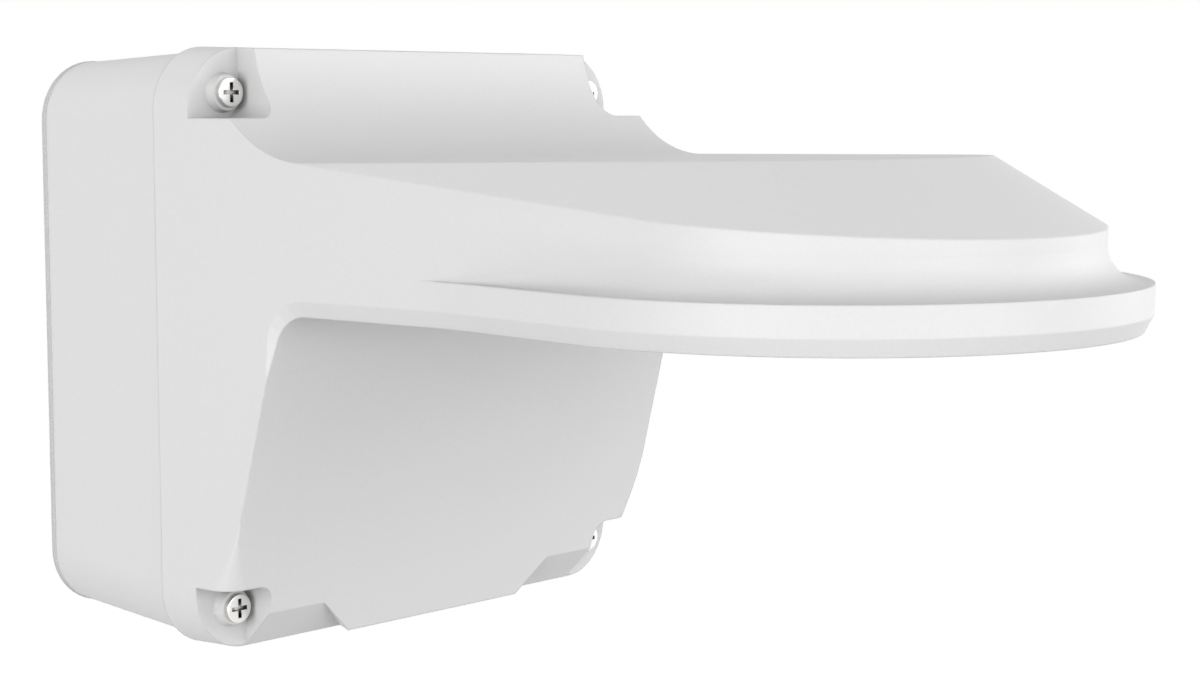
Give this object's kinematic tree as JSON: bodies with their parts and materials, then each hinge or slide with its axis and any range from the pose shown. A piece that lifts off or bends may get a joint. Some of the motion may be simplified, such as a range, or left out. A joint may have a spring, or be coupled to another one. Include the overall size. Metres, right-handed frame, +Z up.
{
  "type": "camera wall bracket",
  "caption": "Wall bracket for a dome camera: square junction box closed by a cast cover whose arm carries a round camera plate, held by corner screws.",
  "frame": {"origin": "middle of the face that lies on the wall, which is also the middle of the wall screw square", "axes": "+Y into the wall, the arm points along -Y, +Z up, +X to the right as seen by someone who faces the wall"},
  "size_m": [0.165, 0.3, 0.17],
  "materials": {
    "casting": "die-cast aluminium with a fine white powder coat",
    "foam": "matte grey closed-cell foam",
    "seal_rubber": "matte black rubber",
    "grommet_rubber": "matte black rubber",
    "screw_steel": "nickel-plated steel"
  },
  "bodies": {
    "root": {"wall_gasket": "foam", "back_box": "casting", "arm_cover": "casting", "lid_seal": "seal_rubber", "cover_screw_top_left": "screw_steel", "cover_screw_top_right": "screw_steel", "cover_screw_bottom_left": "screw_steel", "cover_screw_bottom_right": "screw_steel", "rear_grommet": "grommet_rubber", "plate_grommet": "grommet_rubber", "conduit_plug": "casting", "conduit_plug_ring": "seal_rubber", "earth_screw": "screw_steel", "earth_washer": "screw_steel"}
  },
  "joints": []
}
